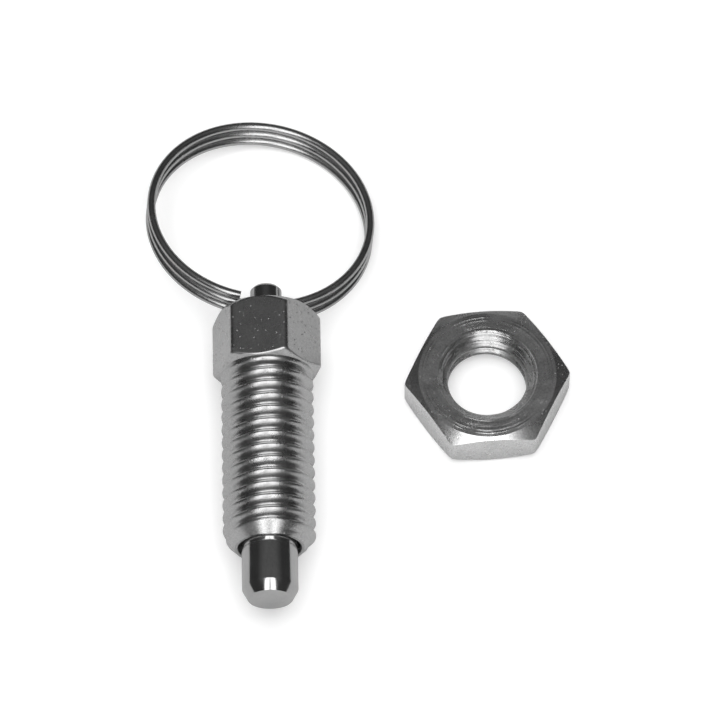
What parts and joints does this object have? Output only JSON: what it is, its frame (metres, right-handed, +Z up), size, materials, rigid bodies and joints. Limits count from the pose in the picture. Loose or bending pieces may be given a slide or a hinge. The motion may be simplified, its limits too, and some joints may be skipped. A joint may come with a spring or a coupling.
{
  "type": "indexing plunger",
  "caption": "Spring-loaded indexing plunger with a threaded barrel, hexagon head, chamfered pin and a wire pull ring, beside its thin lock nut.",
  "frame": {"origin": "On the plunger's axis, where the thread meets the underside of the hexagon head.", "axes": "The plunger's axis is Y: the index pin points along -Y and the pull ring trails along +Y. +Z is up, and the ring's lowest turn and the nut lie on one plane of constant z."},
  "size_m": [0.0457, 0.0594, 0.0114],
  "materials": {
    "plated_steel": "bright zinc plate over turned and drawn steel",
    "pin_steel": "ground and polished hardened steel",
    "spring_steel": "drawn spring wire",
    "ring_steel": "polished spring wire",
    "nut_steel": "bright zinc plate with turning marks on the faces"
  },
  "bodies": {
    "housing": {"housing": "plated_steel", "lock_nut": "nut_steel"},
    "spring": {"return_spring": "spring_steel"},
    "pin": {"index_pin": "pin_steel"},
    "ring": {"pull_ring": "ring_steel"}
  },
  "joints": [
    {"name": "pin_turn", "type": "hinge", "parent": "housing", "child": "spring", "pos_m": [0, 0, 0], "axis": [0, 1, 0], "continuous": true},
    {"name": "pin_slide", "type": "slide", "parent": "spring", "child": "pin", "axis": [0, 1, 0], "range_m": [0, 0.006], "stiffness_N_per_m": 1440, "springref_m": -0.0062, "deforming": ["return_spring"]},
    {"name": "ring_swing", "type": "hinge", "parent": "pin", "child": "ring", "pos_m": [0, 0.00807, 0], "axis": [0.9917, 0, -0.1288], "range_deg": [-25, 50]}
  ]
}
